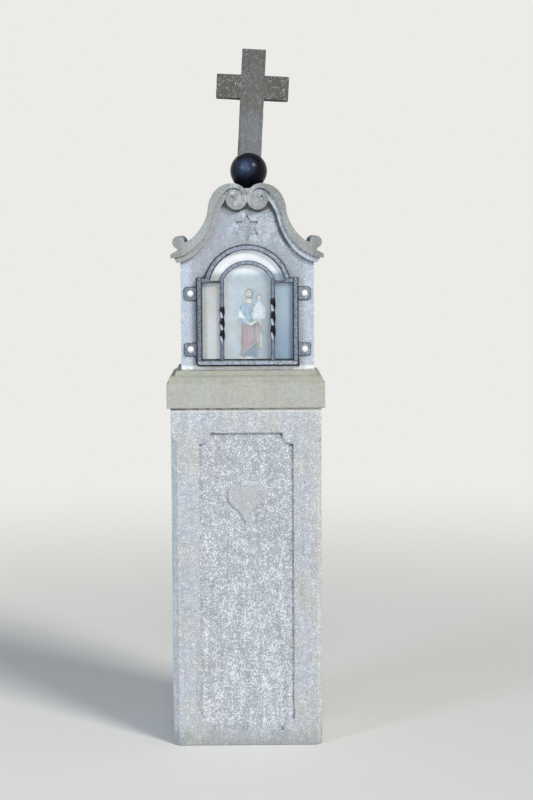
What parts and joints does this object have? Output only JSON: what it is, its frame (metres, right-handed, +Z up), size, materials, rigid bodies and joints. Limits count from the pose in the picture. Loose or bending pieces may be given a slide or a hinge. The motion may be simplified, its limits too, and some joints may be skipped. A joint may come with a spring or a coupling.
{
  "type": "stone wayside shrine",
  "caption": "Free-standing stone wayside shrine: panelled shaft, cap slab, glazed niche with a statuette, volute gable, black ball and cross.",
  "frame": {"origin": "middle of the shaft's foot, on the ground", "axes": "+Z up; -Y out of the front, towards the viewer; +X to the viewer's right"},
  "size_m": [0.463, 0.362, 2.0534],
  "materials": {
    "shaft_stone": "bush-hammered light grey granite with white specks",
    "cap_stone": "fine-dressed grey stone with yellow-green lichen",
    "block_stone": "fine-dressed light grey granite",
    "cross_stone": "weathered dark grey stone with lichen specks",
    "polished_stone": "polished black",
    "mortar": "weathered lime mortar",
    "dark_bed": "nearly black setting compound",
    "window_glass": "clear float glass",
    "wrought_iron": "forged bar with dark slate paint",
    "bolt_steel": "bright domed heads",
    "painted_plaster": "hand-painted in soft colours"
  },
  "bodies": {
    "root": {"shaft": "shaft_stone", "lower_bed": "mortar", "cap_slab": "cap_stone", "upper_bed": "mortar", "niche_block": "block_stone", "ball": "polished_stone", "cross_bed": "dark_bed", "cross": "cross_stone", "glass_pane": "window_glass", "statuette": "painted_plaster", "bottom_bar": "wrought_iron", "left_stile": "wrought_iron", "right_stile": "wrought_iron", "left_rail": "wrought_iron", "right_rail": "wrought_iron", "outer_arch": "wrought_iron", "inner_arch": "wrought_iron", "left_twisted_bar": "wrought_iron", "right_twisted_bar": "wrought_iron", "upper_left_lug": "wrought_iron", "upper_right_lug": "wrought_iron", "lower_left_lug": "wrought_iron", "lower_right_lug": "wrought_iron", "upper_left_bolt": "bolt_steel", "upper_right_bolt": "bolt_steel", "lower_left_bolt": "bolt_steel", "lower_right_bolt": "bolt_steel"}
  },
  "joints": []
}
